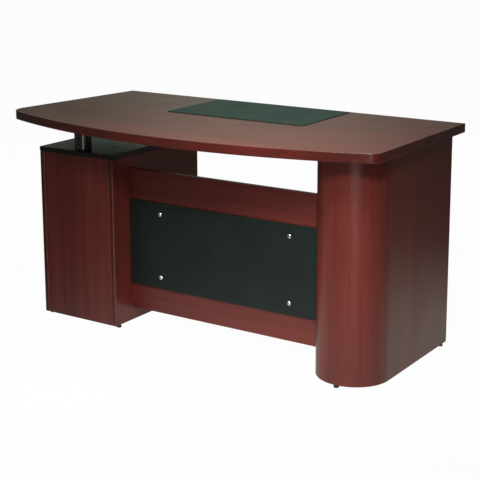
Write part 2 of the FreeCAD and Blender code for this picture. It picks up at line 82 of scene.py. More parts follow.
# Handles
HANDLE_BAR_WIDTH = 0.012
HANDLE_BAR_THICKNESS = 0.007
HANDLE_BEND_RADIUS = 0.0105
HANDLE_SECTION_RADIUS = 0.0028

# Screws. The socket's rim and floor are given by shares of the head's radius and height
OVERLAY_SCREW_RADIUS = 0.008
OVERLAY_SCREW_HEIGHT = 0.004
SOCKET = ((0.42, 0.88), (0.36, 0.45))
WOOD_SCREW_RADIUS = 0.004
WOOD_SCREW_HEIGHT = 0.0022
WOOD_SCREW_TIP_LENGTH = 0.003
WOOD_SCREW_TIP_SHARE = 0.3
RECESS_RIM_SHARE = 0.45
RECESS_FLOOR_SHARE = 0.40
RECESS_RIM_DROP = 0.0003
CROSS_HALF_ARM = 0.3
CROSS_CORE = 0.42

# Screw caps, by shares of radius and height, and glides, by inset from the radius and height
CAP_RADIUS = 0.006
CAP_CURVE = ((1.0, 0.0), (1.0, 0.45), (0.92, 0.8), (0.72, 1.0))
GLIDE_RADIUS = 0.009
GLIDE_FOOT = ((0.0022, 0.0), (0.0007, 0.0007), (0.0, 0.0022), (0.0, 0.0052), (0.0018, 0.0062))

# Pillars and lock
PILLAR_EASE = 0.0008
LOCK_FLANGE_THICKNESS = 0.0025
LOCK_BODY_RADIUS = 0.009
LOCK_BORE_RADIUS = 0.00605
LOCK_EASE = 0.0010
LOCK_BEVEL = 0.0003

# Photograph's camera
CAMERA_PLACE = Vector((2.3176, -3.3326, 1.4393))
CAMERA_AZIMUTH = 33.7782
CAMERA_ELEVATION = 11.9042
CAMERA_ROLL = -0.2018
CAMERA_LENS = 92.527
CAMERA_SENSOR = 36.0
CAMERA_SHIFT_Y = -0.15

# Floor and room. The room and its ceiling are what gloss shows of them; gloss also shows the floor glowing
# with a painted pool of light round the desk
FLOOR_HALF = 30.0
FLOOR_PAINT = (0.80, 0.80, 0.80)
FLOOR_GLOW = 0.975
FLOOR_PAINTED_POOL_CENTRE = (0.475, 0.05, 0.0)
FLOOR_PAINTED_POOL_INNER = 0.5
FLOOR_PAINTED_POOL_OUTER = 1.75
FLOOR_PAINTED_POOL = 0.66
FLOOR_FAR = 0.10
FLOOR_TINT = (1.0, 0.98, 0.88)
BACKDROP_DIRECTION = (-0.533, 0.825, 0.19)
BACKDROP_FADE = (0.9895, 0.9998)
CEILING_FADE = (0.16, 0.62)
ROOM_BACKDROP = 0.46
ROOM_HORIZON = 0.04
ROOM_CEILING = 0.95
ROOM_TINT = (0.84, 1.0, 0.82)
WORLD_FILL = 0.03
WHITE = (1.0, 1.0, 1.0)

# Lamps: place, aim, size, power, spread of the beam in degrees, and whether gloss shows them
LAMPS = {
    "key_softbox": ((1.6, -2.4, 2.6), (0.22, -0.2, 0.30), (0.5, 0.5), 3.0, 32, True),
    "high_softbox": ((0.6, -1.3, 2.8), (0.35, -0.2, 0.30), (0.5, 0.5), 2.4, 40, True),
    "strip_softbox": ((1.48, -2.39, 0.40), (0.20, -0.2, 0.30), (0.60, 0.74), 0.42, 40, True),
    "grid_softbox": ((1.62, -2.0, 0.36), (0.58, -0.2, 0.36), (0.60, 0.60), 0.44, 16, False),
    "pillar_softbox": ((0.50, -1.26, 0.36), (-0.486, -0.124, 0.66), (0.22, 0.62), 0.013, 18, True),
    "floor_softbox": ((-0.25, -0.8, 0.9), (-0.25, -0.8, 0.0), (0.8, 0.2), 1.5, 70, False),
    "rear_softbox": ((-0.775, 3.6, 1.6), (0.025, 0.3, 0.4), (2.0, 1.4), 30, 180, False),
    "left_softbox": ((-3.2, 0.7, 1.5), (-0.6, 0.1, 0.4), (1.2, 1.2), 12, 180, False),
}

# Directions: along the desktop towards the leg, from the visitor towards the user, and up
RIGHT = Vector((1, 0, 0))
USERWARDS = Vector((0, 1, 0))
UP = Vector((0, 0, 1))

# Meshes: the layer that marks edges for wear and a painted highlight, tolerances and fineness
EDGE_WEAR_AND_HIGHLIGHT_LAYER = "edge"
SHARP_ANGLE = 0.9
MERGE_DISTANCE = 1e-6
END_TOLERANCE = 1e-5
ARC_STEPS = 8
BOW_STEPS = 96
NOSE_STEPS = 64
DOME_STEPS = 5
SECTION_STEPS = 4
PILLAR_SIDES = 64
LOCK_SIDES = 48
WOOD_SCREW_SIDES = 32
GLIDE_SIDES = 28
HEAD_SIDES = 24


class Nodes:
    """Shader node tree, with short ways to add to it."""

    def __init__(self, tree):
        self.tree = tree

    def node(self, kind, **settings):
        made = self.tree.nodes.new(kind)
        for name, value in settings.items():
            setattr(made, name, value)
        return made

    def feed(self, socket, value):
        """Join another node's output to a socket, or set the socket's own value."""
        if isinstance(value, bpy.types.NodeSocket):
            self.tree.links.new(value, socket)
        else:
            socket.default_value = value

    def math(self, operation, first, second):
        made = self.node("ShaderNodeMath", operation=operation)
        self.feed(made.inputs[0], first)
        self.feed(made.inputs[1], second)
        return made.outputs[0]

    def span(self, value, from_low, from_high, to_low, to_high):
        """Value moved from one range to another, smoothly and without passing the ends."""
        made = self.node("ShaderNodeMapRange", interpolation_type="SMOOTHSTEP")
        self.feed(made.inputs["Value"], value)
        made.inputs["From Min"].default_value = from_low
        made.inputs["From Max"].default_value = from_high
        made.inputs["To Min"].default_value = to_low
        made.inputs["To Max"].default_value = to_high
        return made.outputs["Result"]

    def blend(self, factor, first, second):
        """Number between two others, by a factor from 0 to 1."""
        made = self.node("ShaderNodeMix")
        for socket, value in ((made.inputs[0], factor), (made.inputs[2], first), (made.inputs[3], second)):
            self.feed(socket, value)
        return made.outputs[0]

    def mix(self, factor, first, second, kind="MIX"):
        """Colour between two others, by a factor from 0 to 1."""
        made = self.node("ShaderNodeMix", data_type="RGBA", blend_type=kind)
        self.feed(made.inputs[0], factor)
        for socket, value in ((made.inputs[6], first), (made.inputs[7], second)):
            self.feed(socket, value if isinstance(value, bpy.types.NodeSocket) else (*value, 1.0))
        return made.outputs[2]

    def compare(self, operation, vector, other):
        """Number from two vectors, such as their distance or dot product."""
        made = self.node("ShaderNodeVectorMath", operation=operation)
        self.feed(made.inputs[0], vector)
        self.feed(made.inputs[1], other)
        return made.outputs["Value"]


class Finish(Nodes):
    """One material: its node tree, and short ways to add textures to it."""

    def __init__(self, name, slot):
        self.slot = slot
        self.material = bpy.data.materials.new(name)
        self.material.use_nodes = True
        super().__init__(self.material.node_tree)
        self.shader = self.tree.nodes["Principled BSDF"]
        self.place = self.node("ShaderNodeTexCoord").outputs["Object"]
        # Mask of the edges that take wear and a painted highlight
        self.edge = self.node("ShaderNodeAttribute", attribute_name=EDGE_WEAR_AND_HIGHLIGHT_LAYER).outputs["Fac"]

    def set(self, **values):
        """Feed the shader's sockets, named with underscores for spaces."""
        for name, value in values.items():
            self.feed(self.shader.inputs[name.replace("_", " ")], value)

    def scaled(self, cells):
        """The desk's coordinates, with so many texture cells to the metre along X, Y and Z."""
        mapping = self.node("ShaderNodeMapping")
        self.feed(mapping.inputs["Vector"], self.place)
        mapping.inputs["Scale"].default_value = cells
        return mapping.outputs["Vector"]

    def noise(self, cells, detail=2.0, roughness=0.5, distortion=0.0):
        noise = self.node("ShaderNodeTexNoise")
        self.feed(noise.inputs["Vector"], self.scaled(cells))
        noise.inputs["Scale"].default_value = 1.0
        noise.inputs["Detail"].default_value = detail
        noise.inputs["Roughness"].default_value = roughness
        noise.inputs["Distortion"].default_value = distortion
        return noise.outputs["Fac"]

    def pebbles(self, cells):
        voronoi = self.node("ShaderNodeTexVoronoi", feature="SMOOTH_F1")
        self.feed(voronoi.inputs["Vector"], self.scaled(cells))
        voronoi.inputs["Scale"].default_value = 1.0
        return voronoi.outputs["Distance"]

    def ramp(self, value, *stops):
        """Colour from a value, by stops of (place, colour)."""
        made = self.node("ShaderNodeValToRGB")
        points = made.color_ramp.elements
        while len(points) < len(stops):
            points.new(1.0)
        for point, (place, colour) in zip(points, stops):
            point.position = place
            point.color = (*colour, 1.0)
        self.feed(made.inputs["Fac"], value)
        return made.outputs["Color"]

    def wear_and_highlight(self, colour, share, wear_and_highlight_colour):
        """Colour that goes some way to another on marked edges: wear, and a painted highlight along the
        rounded edges.
        """
        return self.mix(self.math("MULTIPLY", self.edge, share), colour, wear_and_highlight_colour)

    def bump(self, height, distance, strength):
        made = self.node("ShaderNodeBump")
        made.inputs["Distance"].default_value = distance
        made.inputs["Strength"].default_value = strength
        self.feed(made.inputs["Height"], height)
        return made.outputs["Normal"]


def lengthwise(along, across, cells):
    """Texture cells to the metre: so many across the grain, and few along it."""
    return [cells if axis == along else across for axis in "XYZ"]


def mahogany(name, along, tone=1.0, rough=0.30):
    """Semi-gloss mahogany laminate whose grain runs along one axis, in a lighter or darker tone."""
    finish = Finish(name, "mahogany_laminate")
    broad = finish.noise(lengthwise(along, 11, 0.5), detail=2.0, distortion=0.4)
    streak = finish.noise(lengthwise(along, 75, 1.3), detail=4.0, roughness=0.6, distortion=0.3)
    fibre = finish.noise(lengthwise(along, 260, 4), detail=4.0, roughness=0.65)
    pore = finish.noise(lengthwise(along, 1500, 28), detail=1.0)
    figure = finish.blend(0.55, broad, streak)
    wood = finish.ramp(figure, (0.30, (0.0875, 0.0158, 0.0116)), (0.46, (0.136, 0.0226, 0.0164)),
                       (0.58, (0.166, 0.0271, 0.0198)), (0.72, (0.207, 0.0355, 0.0261)))
    shade = finish.ramp(fibre, (0.28, (0.52, 0.48, 0.46)), (0.68, (1.22, 1.22, 1.22)))
    wood = finish.mix(0.55, wood, shade, "MULTIPLY")
    wood = finish.mix(1.0, wood, (tone, tone, tone), "MULTIPLY")
    pores = finish.span(pore, 0.26, 0.40, 1.0, 0.0)
    wood = finish.mix(finish.math("MULTIPLY", pores, 0.6), wood, (0.022, 0.006, 0.005))
    # Lighter edges: wear, and a painted highlight line along the rounded edges
    wood = finish.wear_and_highlight(wood, 0.5, (0.215, 0.070, 0.055))
    smudge = finish.noise((7, 7, 7), detail=4.0, roughness=0.6)
    gloss = finish.span(smudge, 0.3, 0.7, rough, rough + 0.07)
    gloss = finish.math("ADD", gloss, finish.math("MULTIPLY", pores, 0.12))
    relief = finish.bump(finish.math("SUBTRACT", fibre, pores), 0.00012, 0.25)
    finish.set(Base_Color=wood, Roughness=gloss, Normal=relief, IOR=1.5)
    return finish


def black_laminate():
    """Glossy black laminate with a faint orange peel and dust-fine scuffs."""
    finish = Finish("black_laminate", "black_laminate")
    cloud = finish.noise((14, 14, 14), detail=5.0, roughness=0.6)
    scuff = finish.noise((900, 60, 900), detail=2.0)
    colour = finish.ramp(cloud, (0.3, (0.0065, 0.0085, 0.0072)), (0.7, (0.0105, 0.0130, 0.0112)))
    # Lighter edges: wear and a painted highlight
    colour = finish.wear_and_highlight(colour, 0.4, (0.05, 0.055, 0.05))
    rough = finish.math("ADD", finish.span(cloud, 0.3, 0.7, 0.24, 0.30),
                        finish.span(scuff, 0.62, 0.75, 0.0, 0.05))
    peel = finish.bump(finish.noise((260, 260, 260), detail=1.0), 0.00006, 0.25)
    finish.set(Base_Color=colour, Roughness=rough, Normal=peel, IOR=1.5)
    return finish


def leatherette(name, dark, light, ior):
    """Dark leatherette with a fine pebble and a faint sheen."""
    finish = Finish(name, "black_leatherette")
    pebble = finish.pebbles((620, 620, 620))
    wrinkle = finish.noise((190, 190, 190), detail=4.0, roughness=0.6, distortion=0.6)
    cloud = finish.noise((9, 9, 9), detail=3.0)
    colour = finish.ramp(cloud, (0.3, dark), (0.7, light))
    valley = finish.span(pebble, 0.35, 0.75, 0.0, 0.6)
    colour = finish.mix(valley, colour, [0.4 * part for part in dark])
    # Lighter edges: wear and a painted highlight
    colour = finish.wear_and_highlight(colour, 0.35, (0.030, 0.038, 0.035))
    rough = finish.span(cloud, 0.3, 0.7, 0.46, 0.53)
    rough = finish.math("ADD", rough, finish.math("MULTIPLY", valley, 0.15))
    relief = finish.bump(finish.math("SUBTRACT", wrinkle, pebble), 0.00022, 0.35)
    finish.set(Base_Color=colour, Roughness=rough, Normal=relief, IOR=ior)
    return finish


def enamel():
    """Gloss black enamel on the pillars."""
    finish = Finish("black_enamel", "black_metal")
    cloud = finish.noise((40, 40, 12), detail=4.0)
    colour = finish.ramp(cloud, (0.3, (0.0180, 0.0190, 0.0175)), (0.7, (0.0270, 0.0280, 0.0260)))
    rough = finish.span(cloud, 0.3, 0.7, 0.19, 0.25)
    peel = finish.bump(finish.noise((340, 340, 340), detail=1.0), 0.00004, 0.3)
    finish.set(Base_Color=colour, Roughness=rough, Normal=peel, IOR=1.75)
    return finish


def plated(name, slot, dark, light, rough, brush):
    """Plated metal with fine brush marks, brush giving the cells to the metre along X, Y and Z."""
    finish = Finish(name, slot)
    mark = finish.noise(brush, detail=3.0, roughness=0.6)
    cloud = finish.noise((60, 60, 60), detail=4.0)
    colour = finish.ramp(finish.blend(0.4, mark, cloud), (0.3, dark), (0.7, light))
    # Lighter edges: wear and a painted highlight
    colour = finish.wear_and_highlight(colour, 0.3, (0.85, 0.85, 0.84))
    marks = finish.math("ADD", finish.span(mark, 0.3, 0.7, rough, rough * 1.5),
                        finish.span(cloud, 0.4, 0.8, 0.0, 0.08))
    relief = finish.bump(mark, 0.00003, 0.3)
    finish.set(Base_Color=colour, Roughness=marks, Normal=relief, Metallic=1.0)
    return finish


def plastic(name, slot, dark, light):
    """Moulded plastic with a fine spark texture."""
    finish = Finish(name, slot)
    spark = finish.noise((1300, 1300, 1300), detail=2.0)
    cloud = finish.noise((70, 70, 70), detail=3.0)
    colour = finish.ramp(cloud, (0.3, dark), (0.7, light))
    # Lighter edges: wear and a painted highlight
    colour = finish.wear_and_highlight(colour, 0.4, [0.04 + 1.4 * part for part in light])
    rough = finish.span(spark, 0.3, 0.7, 0.42, 0.58)
    relief = finish.bump(spark, 0.00006, 0.35)
    finish.set(Base_Color=colour, Roughness=rough, Normal=relief)
    return finish


def faced_board(name, slot, dark, light):
    """Melamine-faced board with a woven-paper fleck and a pressed pearl."""
    finish = Finish(name, slot)
    fleck = finish.noise((700, 160, 700), detail=3.0, roughness=0.6)
    cloud = finish.noise((12, 12, 12), detail=3.0)
    colour = finish.ramp(finish.blend(0.5, fleck, cloud), (0.32, dark), (0.68, light))
    rough = finish.span(fleck, 0.3, 0.7, 0.42, 0.56)
    relief = finish.bump(finish.noise((480, 480, 480), detail=2.0), 0.00008, 0.35)
    finish.set(Base_Color=colour, Roughness=rough, Normal=relief)
    return finish


wood_x = mahogany("mahogany_across", "X")
wood_z = mahogany("mahogany_upright", "Z")
wood_edge = mahogany("mahogany_edging", "X", tone=0.70, rough=0.17)
# Dark tone for the strips: painted shadow of a gap beside the pedestal's front panel
painted_shadow_wood = mahogany("mahogany_painted_shadow_strip", "Z", tone=0.46)
black_top = black_laminate()
pad_cover = leatherette("green_leatherette", (0.0048, 0.0240, 0.0200), (0.0072, 0.0330, 0.0275), 1.31)
overlay_cover = leatherette("dark_leatherette", (0.0058, 0.0118, 0.0106), (0.0082, 0.0164, 0.0148), 1.44)
black_pillar = enamel()
chrome = plated("bright_chrome", "bright_chrome", (0.62, 0.63, 0.64), (0.80, 0.81, 0.82),
                rough=0.10, brush=(300, 300, 300))
zinc = plated("bright_zinc", "zinc_steel", (0.50, 0.51, 0.53), (0.68, 0.69, 0.70),
              rough=0.26, brush=(900, 40, 900))
nickel = plated("satin_nickel", "satin_nickel", (0.48, 0.47, 0.45), (0.64, 0.63, 0.60),
                rough=0.24, brush=(60, 1400, 1400))
black_plastic = plastic("black_plastic", "black_plastic", (0.010, 0.010, 0.010), (0.022, 0.022, 0.021))
brown_plastic = plastic("brown_plastic", "brown_plastic", (0.060, 0.022, 0.018), (0.095, 0.038, 0.030))
drawer_board = faced_board("drawer_board", "drawer_board", (0.33, 0.32, 0.30), (0.46, 0.45, 0.42))
hardboard = faced_board("drawer_hardboard", "drawer_hardboard", (0.29, 0.27, 0.24), (0.40, 0.38, 0.34))


def dress(finish, *names):
    """Give CAD nodes a finish."""
    for name in names:
        slots = nodes[name].data.materials
        slots.clear()
        slots.append(finish.material)


def new_mesh():
    """Empty mesh under construction, with a layer that says where its edges take wear and a painted
    highlight.
    """
    bm = bmesh.new()
    bm.verts.layers.float.new(EDGE_WEAR_AND_HIGHLIGHT_LAYER)
    return bm


def piece(name, bm, body, finish, stands_for=()):
    """Turn a mesh under construction into a piece that rides on a body."""
    bmesh.ops.recalc_face_normals(bm, faces=bm.faces)
    for edge in bm.edges:
        if edge.calc_face_angle(0.0) > SHARP_ANGLE:
            edge.smooth = False
    mesh = bpy.data.meshes.new(name)
    bm.to_mesh(mesh)
    bm.free()
    mesh.materials.append(finish.material)
    made = bpy.data.objects.new(name, mesh)
    bpy.context.scene.collection.objects.link(made)
    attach(made, body)
    if stands_for:
        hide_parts(*stands_for)
    return made


def foot_of(low, high):
    """Middle of the underside of a box."""
    return Vector(((low.x + high.x) / 2, (low.y + high.y) / 2, low.z))


def rounded_block(bm, low, high, radius, segments=2):
    """Board with rounded edges. The crest of each rounding is marked for wear and a painted highlight."""
    layer = bm.verts.layers.float[EDGE_WEAR_AND_HIGHLIGHT_LAYER]
    place = Matrix.Translation((low + high) / 2) @ Matrix.Diagonal((*(high - low), 1.0))
    cube = bmesh.ops.create_cube(bm, size=1.0, matrix=place)
    edges = list({edge for vert in cube["verts"] for edge in vert.link_edges})
    bevel = bmesh.ops.bevel(bm, geom=edges, offset=radius, segments=segments, profile=0.5, affect="EDGES")
    rounding = set(bevel["faces"])
    for face in rounding:
        face.smooth = True
    for vert in bevel["verts"]:
        vert[layer] = float(all(face in rounding for face in vert.link_faces))


def bridge(bm, below, above, smooth=True):
    """Faces between two rings of as many vertices each."""
    count = len(below)
    for index in range(count):
        after = (index + 1) % count
        face = bm.faces.new((below[index], below[after], above[after], above[index]))
        face.smooth = smooth


def wall(bm, rings):
    """Faces between successive rings of as many points each. Returns the rings' vertices."""
    made = [[bm.verts.new(point) for point in ring] for ring in rings]
    for below, above in zip(made, made[1:]):
        bridge(bm, below, above)
    return made


def capped(bm, rings):
    """Wall with a face over each end. Returns the rings' vertices."""
    made = wall(bm, rings)
    bm.faces.new(made[0][::-1])
    bm.faces.new(made[-1])
    return made


def circle(centre, axis, radius, sides, shape=None):
    """Points round an axis. Shape changes the radius by the angle."""
    across = axis.orthogonal().normalized()
    other = axis.cross(across)
    points = []
    for number in range(sides):
        angle = 2 * math.pi * number / sides
        reach = radius * (shape(angle) if shape else 1.0)
        points.append(centre + across * (reach * math.cos(angle)) + other * (reach * math.sin(angle)))
    return points


def turned(bm, base, axis, profile, sides):
    """Turned solid, by a profile from end to end of (radius, height) or (radius, height, shape)."""
    rings = []
    for radius, height, *shape in profile:
        rings.append(circle(base + axis * height, axis, radius, sides, *shape))
    capped(bm, rings)


def hexagon(angle):
    """Radius of a hexagonal socket at an angle, for a corner radius of 1."""
    sixth = math.pi / 3
    return math.cos(sixth / 2) / math.cos(angle % sixth - sixth / 2)


def cross(angle):
    """Radius of a cross recess at an angle, for an arm's reach of 1."""
    quarter = math.pi / 2
    offset = abs((angle + quarter / 2) % quarter - quarter / 2)
    return 1.0 if offset < CROSS_HALF_ARM else CROSS_CORE


def dome_profile(radius, height):
    """Profile of a low dome, from its seat to the rim of its recess."""
    ball = (radius ** 2 + height ** 2) / (2 * height)
    widest = math.asin(min(1.0, radius / ball))
    angles = [widest * (1 - number / (DOME_STEPS + 1)) for number in range(DOME_STEPS)]
    return [(ball * math.sin(angle), height - ball * (1 - math.cos(angle))) for angle in angles]


def round_over(radius, corner_z, rising):
    """Quarter-round from a vertical face at inset 0: (inset, height) points, from the bottom up."""
    points = []
    for step in range(ARC_STEPS + 1):
        turn = math.pi / 2 * step / ARC_STEPS
        if rising:
            points.append((radius * (1 - math.cos(turn)), corner_z - radius * (1 - math.sin(turn))))
        else:
            points.append((radius * (1 - math.sin(turn)), corner_z + radius * (1 - math.cos(turn))))
    return points


def arc_points(centre_x, centre_y, radius, start, end, steps):
    """Points of an arc between two angles in degrees, both ends included."""
    angles = [math.radians(start + (end - start) * number / steps) for number in range(steps + 1)]
    return [(centre_x + radius * math.cos(angle), centre_y + radius * math.sin(angle)) for angle in angles]


def desktop_end(side, splay, radius, inset):
    """Plan points of one end of the desktop, moved inwards: rear corner, then front corner's rounding."""
    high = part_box("desktop_edge_band")[1]
    bow_y = BOW_RADIUS - high.y
    x = side * (high.x - radius)
    y = bow_y - math.sqrt((BOW_RADIUS - radius) ** 2 - (x - BOW_MIDDLE_X) ** 2)
    outwards = splay if side > 0 else -180 - splay
    onto_bow = math.degrees(math.atan2(y - bow_y, x - BOW_MIDDLE_X))
    rounding = arc_points(x, y, radius - inset, outwards, onto_bow, ARC_STEPS)
    rise = high.y - inset - rounding[0][1]
    corner_x = rounding[0][0] - side * rise * math.tan(math.radians(splay))
    return [(corner_x, high.y - inset), *rounding]


def desktop_outline(inset):
    """Plan points of the desktop's edge, moved inwards, from the rear right corner round by the bow."""
    bow_y = BOW_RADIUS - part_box("desktop_edge_band")[1].y
    right = desktop_end(1, 0, RIGHT_CORNER_RADIUS, inset)
    left = desktop_end(-1, LEFT_SPLAY, LEFT_CORNER_RADIUS, inset)
    ends = [math.degrees(math.atan2(y - bow_y, x - BOW_MIDDLE_X)) for x, y in (right[-1], left[-1])]
    bow = arc_points(BOW_MIDDLE_X, bow_y, BOW_RADIUS - inset, *ends, BOW_STEPS)
    return [*right, *bow[1:-1], *left[::-1]]


def make_desktop():
    """Edge band with rounded edges round the desktop, and the desktop's own finish."""
    dress(wood_x, "desktop")
    low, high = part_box("desktop_edge_band")
    flat = [(0, low.z + BAND_SUPPORT), (0, high.z - BAND_SUPPORT)]
    profile = round_over(BAND_THICKNESS, low.z, False) + flat + round_over(BAND_THICKNESS, high.z, True)
    bm = new_mesh()
    made = wall(bm, [[Vector((x, y, z)) for x, y in desktop_outline(inset)] for inset, z in profile])
    # Round-overs marked for wear and a painted highlight, most at their crest
    layer = bm.verts.layers.float[EDGE_WEAR_AND_HIGHLIGHT_LAYER]
    for (inset, _), ring in zip(profile, made):
        for vert in ring:
            vert[layer] = 1.0 - abs(1.0 - 2.0 * inset / BAND_THICKNESS)
    bridge(bm, made[-1], made[0], smooth=False)
    piece("desktop_edging", bm, "desk", wood_edge, ["desktop_edge_band"])


def rounded_rectangle(low, high, radius, inset, z):
    """Plan points of a round-cornered rectangle, moved inwards."""
    corners = ((high.x, high.y, 0), (low.x, high.y, 90), (low.x, low.y, 180), (high.x, low.y, 270))
    middle = (low + high) / 2
    points = []
    for x, y, start in corners:
        centre_x = x - math.copysign(radius, x - middle.x)
        centre_y = y - math.copysign(radius, y - middle.y)
        points += arc_points(centre_x, centre_y, radius - inset, start, start + 90, ARC_STEPS)
    return [Vector((x, y, z)) for x, y in points]


def make_writing_pad():
    """Leatherette writing pad with softly rounded upper edges and a slight crown."""
    low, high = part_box("writing_pad")
    edge = round_over(PAD_EDGE_RADIUS, high.z - PAD_CROWN, True)
    crown = [(inset, high.z - share * PAD_CROWN) for inset, share in PAD_CROWN_RISE]
    profile = [(0, low.z), *edge, *crown]
    bm = new_mesh()
    made = capped(bm, [rounded_rectangle(low, high, PAD_CORNER_RADIUS, inset, z) for inset, z in profile])
    # Rim rings marked for wear and a painted highlight
    layer = bm.verts.layers.float[EDGE_WEAR_AND_HIGHLIGHT_LAYER]
    for ring in made[PAD_WEAR_AND_HIGHLIGHT_RINGS]:
        for vert in ring:
            vert[layer] = PAD_EDGE_WEAR_AND_HIGHLIGHT
    pad = piece("writing_pad_cover", bm, "desk", pad_cover, ["writing_pad"])


def make_boards():
    """Flat boards with rounded edges in place of the plain ones, and finishes for the rest."""
    boards = {
        "pedestal_outer_side": ("desk", wood_z, SIDE_EDGE_RADIUS),
        "pedestal_inner_side": ("desk", wood_z, SIDE_EDGE_RADIUS),
        "pedestal_front_panel": ("desk", wood_z, BOARD_EDGE_RADIUS),
        "pedestal_base": ("desk", wood_x, BOARD_EDGE_RADIUS),
        "modesty_panel": ("desk", wood_x, BOARD_EDGE_RADIUS),
        **{f"{drawer}_front": (drawer, wood_x, FRONT_EDGE_RADIUS) for drawer in DRAWERS},
        "leg_door": ("door", wood_z, FRONT_EDGE_RADIUS),
    }
    for name, (body, finish, radius) in boards.items():
        bm = new_mesh()
        rounded_block(bm, *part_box(name), radius)
        piece(f"{name}_board", bm, body, finish, [name])
    dress(wood_z, "leg_outer_side", "leg_inner_side")
    dress(wood_x, "leg_top_board", "leg_base_board")
    dress(black_top, "pedestal_top")


def make_painted_shadow_strips():
    """Thin dark strips down the front edges of the pedestal's sides, beside its front panel: painted shadow
    of a gap there.
    """
    bm = new_mesh()
    for name, outward in (("pedestal_outer_side", -1), ("pedestal_inner_side", 1)):
        low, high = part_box(name)
        face = high.x if outward > 0 else low.x
        start, end = sorted(face - outward * inset for inset in (STRIP_INSET, STRIP_INSET + STRIP_WIDTH))
        rounded_block(bm, Vector((start, low.y - STRIP_PROUD, low.z + STRIP_END_GAP)),
                      Vector((end, low.y + STRIP_SUNK, high.z - STRIP_END_GAP)), STRIP_EDGE_RADIUS)
    piece("pedestal_painted_shadow_strips", bm, "desk", painted_shadow_wood)


def make_overlay():
    """Leatherette overlay on the modesty panel and its domed socket screws."""
    low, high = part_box("modesty_overlay")
    bm = new_mesh()
    rounded_block(bm, low, high, OVERLAY_EDGE_RADIUS, OVERLAY_EDGE_STEPS)
    cover = piece("modesty_overlay_cover", bm, "desk", overlay_cover, ["modesty_overlay"])
    radius, height = OVERLAY_SCREW_RADIUS, OVERLAY_SCREW_HEIGHT
    profile = dome_profile(radius, height)
    profile += [(across * radius, up * height, hexagon) for across, up in SOCKET]
    low_screw, high_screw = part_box("overlay_screws")
    bm = new_mesh()
    for x in (low_screw.x + radius, high_screw.x - radius):
        for z in (low_screw.z + radius, high_screw.z - radius):
            turned(bm, Vector((x, low.y, z)), -USERWARDS, profile, HEAD_SIDES)
    piece("overlay_screw_heads", bm, "desk", chrome, ["overlay_screws"])


def make_nose():
    """Half-round nose of the leg."""
    low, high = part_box("leg_nose")
    middle_x = (low.x + high.x) / 2
    outer = (high.x - low.x) / 2
    points = arc_points(middle_x, high.y, outer, 180, 360, NOSE_STEPS)
    points += arc_points(middle_x, high.y, outer - LEG_WALL, 360, 180, NOSE_STEPS)
    bm = new_mesh()
    made = wall(bm, [[Vector((x, y, z)) for x, y in points] for z in (low.z, high.z)])
    last = len(points) - 1
    for ring in made:
        for index in range(NOSE_STEPS):
            bm.faces.new((ring[index], ring[index + 1], ring[last - 1 - index], ring[last - index]))
    piece("leg_nose_shell", bm, "desk", wood_z, ["leg_nose"])


def make_pillars():
    """Enamelled pillars with eased ends."""
    ease = PILLAR_EASE
    for name in ("pillar_front", "pillar_rear"):
        low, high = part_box(name)
        radius = (high.x - low.x) / 2
        height = high.z - low.z
        profile = [(radius - ease, 0), (radius, ease), (radius, 2 * ease),
                   (radius, height - 2 * ease), (radius, height - ease), (radius - ease, height)]
        bm = new_mesh()
        turned(bm, foot_of(low, high), UP, profile, PILLAR_SIDES)
        piece(f"{name}_tube", bm, "desk", black_pillar, [name])
    dress(zinc, "pillar_bolts")


def bow_path(half, reach):
    """Middle line of a bow handle in its own plane, from foot to foot."""
    bend = HANDLE_BEND_RADIUS
    left = arc_points(bend - half, reach - bend, bend, 180, 90, ARC_STEPS)
    right = arc_points(half - bend, reach - bend, bend, 90, 0, ARC_STEPS)
    return [(-half, 0), *left, *right, (half, 0)]


def bar_section():
    """Round-cornered section of the handle's bar: (across the bow, along its width) points."""
    radius = HANDLE_SECTION_RADIUS
    half_thick = HANDLE_BAR_THICKNESS / 2 - radius
    half_wide = HANDLE_BAR_WIDTH / 2 - radius
    points = []
    for a, b, start in ((1, 1, 0), (-1, 1, 90), (-1, -1, 180), (1, -1, 270)):
        points += arc_points(a * half_thick, b * half_wide, radius, start, start + 90, SECTION_STEPS)
    return points


def make_handle(name, body, span, across):
    """Bow handle of rounded bar along span, in place of a CAD handle."""
    low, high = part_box(name)
    middle = (low + high) / 2
    length = abs((high - low).dot(span))
    half = (length - HANDLE_BAR_THICKNESS) / 2
    reach = high.y - low.y - HANDLE_BAR_THICKNESS / 2
    foot = Vector((middle.x, low.y, middle.z))
    path = bow_path(half, reach)
    rings = []
    for index, (x, y) in enumerate(path):
        before = path[max(index - 1, 0)]
        after = path[min(index + 1, len(path) - 1)]
        run = Vector((after[0] - before[0], after[1] - before[1])).normalized()
        normal = span * -run.y + USERWARDS * run.x
        centre = foot + span * x + USERWARDS * y
        rings.append([centre + normal * a + across * b for a, b in bar_section()])
    bm = new_mesh()
    capped(bm, rings)
    piece(f"{name}_bow", bm, body, nickel, [name])


def make_handles():
    """Level handles on the drawers and an upright one on the door."""
    for drawer in DRAWERS:
        make_handle(f"{drawer}_handle", drawer, RIGHT, UP)
    make_handle("door_handle", "door", UP, RIGHT)


def solid_parts(name):
    """Vertex places of each separate solid in a CAD node."""
    bm = bmesh.new()
    bm.from_mesh(nodes[name].data)
    bmesh.ops.remove_doubles(bm, verts=bm.verts, dist=MERGE_DISTANCE)
    left = set(bm.verts)
    parts = []
    for first in bm.verts:
        if first not in left:
            continue
        left.remove(first)
        grown = [first]
        for vert in grown:
            for edge in vert.link_edges:
                other = edge.other_vert(vert)
                if other in left:
                    left.remove(other)
                    grown.append(other)
        parts.append([vert.co.copy() for vert in grown])
    bm.free()
    return parts


def box_round(points):
    """Lowest and highest corner of the box round some points."""
    return [Vector([choose(axis) for axis in zip(*points)]) for choose in (min, max)]


